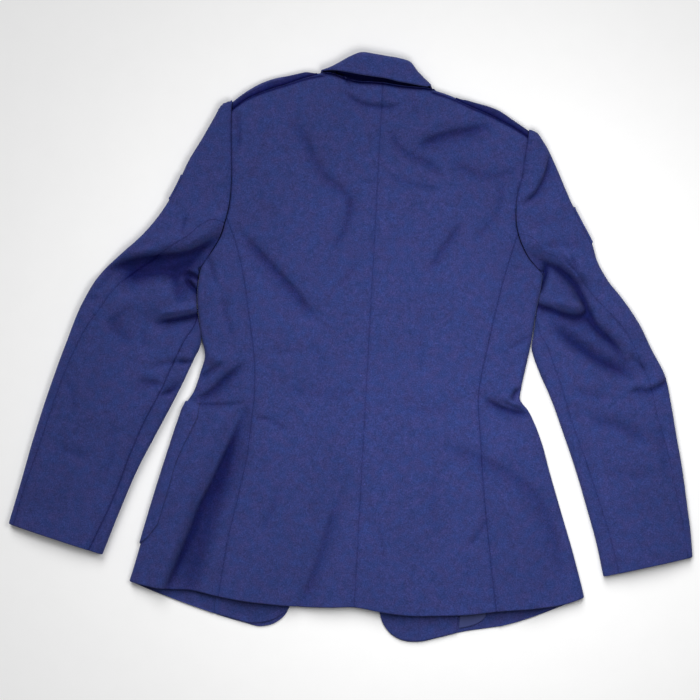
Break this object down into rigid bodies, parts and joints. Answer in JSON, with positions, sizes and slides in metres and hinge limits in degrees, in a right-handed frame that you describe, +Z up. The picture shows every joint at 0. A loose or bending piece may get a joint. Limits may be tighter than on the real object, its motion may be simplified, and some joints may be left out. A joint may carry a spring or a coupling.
{
  "type": "military dress tunic",
  "caption": "Women's blue wool military dress tunic laid flat, face down: notched collar, shoulder straps, tailored sleeves, patch pockets and rounded front corners.",
  "frame": {"origin": "middle of the bounding box, on the surface that the tunic lies on", "axes": "+X across the garment from its left sleeve to its right one, +Y from the hem to the collar, +Z up, away from the surface, out of the back"},
  "size_m": [0.8754, 0.7488, 0.0213],
  "materials": {
    "wool": "matte heathered blue wool blend",
    "lining": "smooth blue satin lining",
    "metal": "satin"
  },
  "bodies": {
    "root": {"back_left": "wool", "side_left": "wool", "front_left": "wool", "top_sleeve_left": "wool", "under_sleeve_left": "wool", "strap_left": "wool", "badge_left": "wool", "lapel_left": "wool", "facing_left": "wool", "pocket_left": "wool", "back_right": "wool", "side_right": "wool", "front_right": "wool", "top_sleeve_right": "wool", "under_sleeve_right": "wool", "strap_right": "wool", "badge_right": "wool", "lapel_right": "wool", "facing_right": "wool", "pocket_right": "wool", "lining_right": "lining", "collar": "wool", "collar_stand": "wool", "button_1": "metal", "button_2": "metal", "button_3": "metal"}
  },
  "joints": []
}
